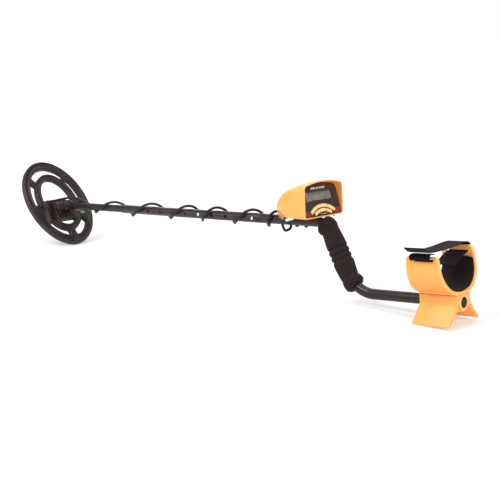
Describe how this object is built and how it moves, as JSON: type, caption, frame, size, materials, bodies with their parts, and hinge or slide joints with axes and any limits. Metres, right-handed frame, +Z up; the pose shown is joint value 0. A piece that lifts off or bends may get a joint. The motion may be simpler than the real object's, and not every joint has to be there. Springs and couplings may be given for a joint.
{
  "type": "metal detector",
  "caption": "Hand-held metal detector: oval search coil on a telescoping stem with a coiled-on cable, hooded control box, foam grip, arm cuff with strap and floor stand.",
  "frame": {"origin": "middle of the bounding box's bottom face: the floor under the middle of the detector", "axes": "+X towards the user's elbow (rear), search coil at -X; +Y to the user's right; +Z up. The detector stands on the floor on the lower edge of its coil and the feet of its cuff stand."},
  "size_m": [1.175, 0.165, 0.2123],
  "materials": {
    "yellow_plastic": "moulded yellow-orange ABS, fine satin texture",
    "black_plastic": "moulded black ABS, satin",
    "black_tube": "black powder-coated aluminium tube",
    "rubber": "smooth black cable jacket and moulded rubber",
    "foam": "closed-cell black foam",
    "webbing": "black hook-and-loop webbing",
    "steel": "zinc or nickel plated steel",
    "copper_wire": "enamelled copper winding",
    "circuit_board": "green glass-epoxy board",
    "key_rubber": "pale yellow moulded keys",
    "panel_film": "dark brown printed film over a plastic plate",
    "display": "grey liquid-crystal module",
    "window": "clear display window",
    "cell_jacket": "plain dark battery jacket"
  },
  "bodies": {
    "frame": {"arm_strap": "webbing", "battery_1": "cell_jacket", "battery_2": "cell_jacket", "battery_3": "cell_jacket", "battery_4": "cell_jacket", "battery_holder": "black_plastic", "cable_plug": "steel", "circuit_board": "circuit_board", "coil_cable": "rubber", "coil_socket": "black_plastic", "control_panel": "panel_film", "cuff_bolt": "steel", "cuff_cradle": "yellow_plastic", "cuff_liner": "foam", "cuff_nut": "steel", "cuff_stand": "yellow_plastic", "display_window": "window", "foam_grip": "foam", "handle_tube": "black_tube", "headphone_jack": "steel", "housing_shell": "yellow_plastic", "lcd_module": "display", "middle_stem_tube": "black_tube", "mount_nut_bar": "steel", "mount_screw_front": "steel", "mount_screw_rear": "steel", "speaker": "black_plastic", "strap_anchor": "webbing", "tube_end_cap": "rubber", "upper_snap_spring": "steel"},
    "lower_stem": {"lower_stem_tube": "black_tube", "stem_yoke_tip": "black_plastic", "lower_snap_spring": "steel"},
    "search_coil": {"coil_upper_shell": "black_plastic", "coil_lower_shell": "black_plastic", "transmit_winding": "copper_wire", "receive_winding": "copper_wire", "coil_cable_gland": "rubber", "coil_hub_bolt": "steel", "hub_washer_left": "rubber", "hub_washer_right": "rubber"},
    "thumb_nut": {"hub_thumb_nut": "black_plastic"},
    "lock_ring": {"plug_lock_ring": "steel"},
    "battery_cover": {"battery_door": "yellow_plastic"},
    "lower_button_left": {"lower_snap_button_left": "steel"},
    "lower_button_right": {"lower_snap_button_right": "steel"},
    "upper_button_left": {"upper_snap_button_left": "steel"},
    "upper_button_right": {"upper_snap_button_right": "steel"},
    "key_lower_left": {"key_lower_left": "key_rubber"},
    "key_lower_middle": {"key_lower_middle": "key_rubber"},
    "key_lower_right": {"key_lower_right": "key_rubber"},
    "key_upper_left": {"key_upper_left": "key_rubber"},
    "key_upper_middle": {"key_upper_middle": "key_rubber"},
    "key_upper_right": {"key_upper_right": "key_rubber"}
  },
  "joints": [
    {"name": "stem_length", "type": "slide", "parent": "frame", "child": "lower_stem", "axis": [0.9981, 0, 0.061], "range_m": [-0.1536, 0.0768], "deforming": ["coil_cable"]},
    {"name": "coil_tilt", "type": "hinge", "parent": "lower_stem", "child": "search_coil", "pos_m": [-0.48005, 0, 0.089], "axis": [0, 1, 0], "range_deg": [-50, 60], "deforming": ["coil_cable"]},
    {"name": "thumb_nut_turn", "type": "hinge", "parent": "search_coil", "child": "thumb_nut", "pos_m": [-0.48005, 0, 0.089], "axis": [0, 1, 0], "continuous": true},
    {"name": "lock_ring_turn", "type": "hinge", "parent": "frame", "child": "lock_ring", "pos_m": [0.24274, -0.018, 0.14723], "axis": [-0.8463, 0, -0.5328], "continuous": true},
    {"name": "battery_cover_slide", "type": "slide", "parent": "frame", "child": "battery_cover", "axis": [0.9866, 0.1516, 0.0603], "range_m": [0, 0.034]},
    {"name": "lower_button_left_press", "type": "slide", "parent": "lower_stem", "child": "lower_button_left", "axis": [0, 1, 0], "range_m": [0, 0.0028], "stiffness_N_per_m": 700, "springref_m": -0.002, "deforming": ["lower_snap_spring"]},
    {"name": "lower_button_right_press", "type": "slide", "parent": "lower_stem", "child": "lower_button_right", "axis": [0, -1, 0], "range_m": [0, 0.0028], "stiffness_N_per_m": 700, "springref_m": -0.002, "deforming": ["lower_snap_spring"]},
    {"name": "upper_button_left_press", "type": "slide", "parent": "frame", "child": "upper_button_left", "axis": [0, 1, 0], "range_m": [0, 0.0028], "stiffness_N_per_m": 700, "springref_m": -0.002, "deforming": ["upper_snap_spring"]},
    {"name": "upper_button_right_press", "type": "slide", "parent": "frame", "child": "upper_button_right", "axis": [0, -1, 0], "range_m": [0, 0.0028], "stiffness_N_per_m": 700, "springref_m": -0.002, "deforming": ["upper_snap_spring"]},
    {"name": "key_lower_left_press", "type": "slide", "parent": "frame", "child": "key_lower_left", "axis": [-0.9426, 0, -0.3338], "range_m": [0, 0.001], "stiffness_N_per_m": 1200, "springref_m": -0.0005},
    {"name": "key_lower_middle_press", "type": "slide", "parent": "frame", "child": "key_lower_middle", "axis": [-0.9426, 0, -0.3338], "range_m": [0, 0.001], "stiffness_N_per_m": 1200, "springref_m": -0.0005},
    {"name": "key_lower_right_press", "type": "slide", "parent": "frame", "child": "key_lower_right", "axis": [-0.9426, 0, -0.3338], "range_m": [0, 0.001], "stiffness_N_per_m": 1200, "springref_m": -0.0005},
    {"name": "key_upper_left_press", "type": "slide", "parent": "frame", "child": "key_upper_left", "axis": [-0.9426, 0, -0.3338], "range_m": [0, 0.001], "stiffness_N_per_m": 1200, "springref_m": -0.0005},
    {"name": "key_upper_middle_press", "type": "slide", "parent": "frame", "child": "key_upper_middle", "axis": [-0.9426, 0, -0.3338], "range_m": [0, 0.001], "stiffness_N_per_m": 1200, "springref_m": -0.0005},
    {"name": "key_upper_right_press", "type": "slide", "parent": "frame", "child": "key_upper_right", "axis": [-0.9426, 0, -0.3338], "range_m": [0, 0.001], "stiffness_N_per_m": 1200, "springref_m": -0.0005}
  ]
}
